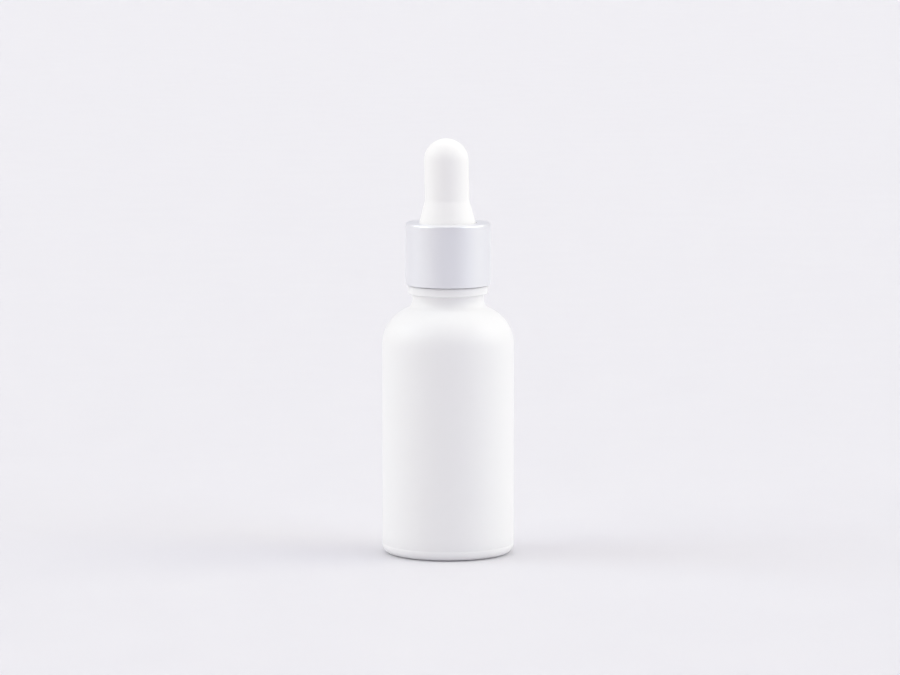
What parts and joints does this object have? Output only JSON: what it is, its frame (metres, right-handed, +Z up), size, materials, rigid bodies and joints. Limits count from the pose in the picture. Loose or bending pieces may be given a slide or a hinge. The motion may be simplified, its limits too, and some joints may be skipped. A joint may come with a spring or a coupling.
{
  "type": "dropper bottle",
  "caption": "Round white dropper bottle with a rounded shoulder, plain metal collar, rubber teat and glass pipette on a screw cap.",
  "frame": {"origin": "centre of the standing base, on the surface it stands on", "axes": "+Z up along the bottle's axis, towards the teat; the front faces -Y"},
  "size_m": [0.033, 0.033, 0.1044],
  "materials": {
    "white_glass": "opaque white, gloss",
    "natural_plastic": "natural, waxy",
    "soft_seal": "soft foam, matt",
    "clear_glass": "clear, polished",
    "white_plastic": "moulded, satin",
    "white_collar": "white lacquer, satin",
    "white_rubber": "smooth moulded rubber, satin"
  },
  "bodies": {
    "bottle": {"bottle": "white_glass", "neck_wiper": "natural_plastic"},
    "seal": {"gasket": "soft_seal"},
    "dropper": {"pipette": "clear_glass", "teat": "white_rubber"},
    "closure": {"inner_cap": "white_plastic", "collar_shell": "white_collar"},
    "back_wall": {"teat_back_wall": "white_rubber"},
    "front_wall": {"teat_front_wall": "white_rubber"}
  },
  "joints": [
    {"name": "dropper_lift", "type": "slide", "parent": "bottle", "child": "seal", "axis": [0, 0, 1], "range_m": [0, 0.08]},
    {"name": "closure_rise", "type": "slide", "parent": "seal", "child": "dropper", "axis": [0, 0, 1], "range_m": [0, 0.0045]},
    {"name": "cap_unscrew", "type": "hinge", "parent": "dropper", "child": "closure", "pos_m": [0, 0, 0.0682], "axis": [0, 0, 1], "range_deg": [0, 540]},
    {"name": "teat_squeeze", "type": "slide", "parent": "dropper", "child": "back_wall", "axis": [0, -1, 0], "range_m": [0, 0.0025], "stiffness_N_per_m": 1200},
    {"name": "front_squeeze", "type": "slide", "parent": "back_wall", "child": "front_wall", "axis": [0, 1, 0], "range_m": [0, 0.005]}
  ],
  "couplings": [
    {"joint": "closure_rise", "follows": "cap_unscrew", "m_per_rad": 0.00047746},
    {"joint": "front_squeeze", "follows": "teat_squeeze", "ratio": 2}
  ]
}
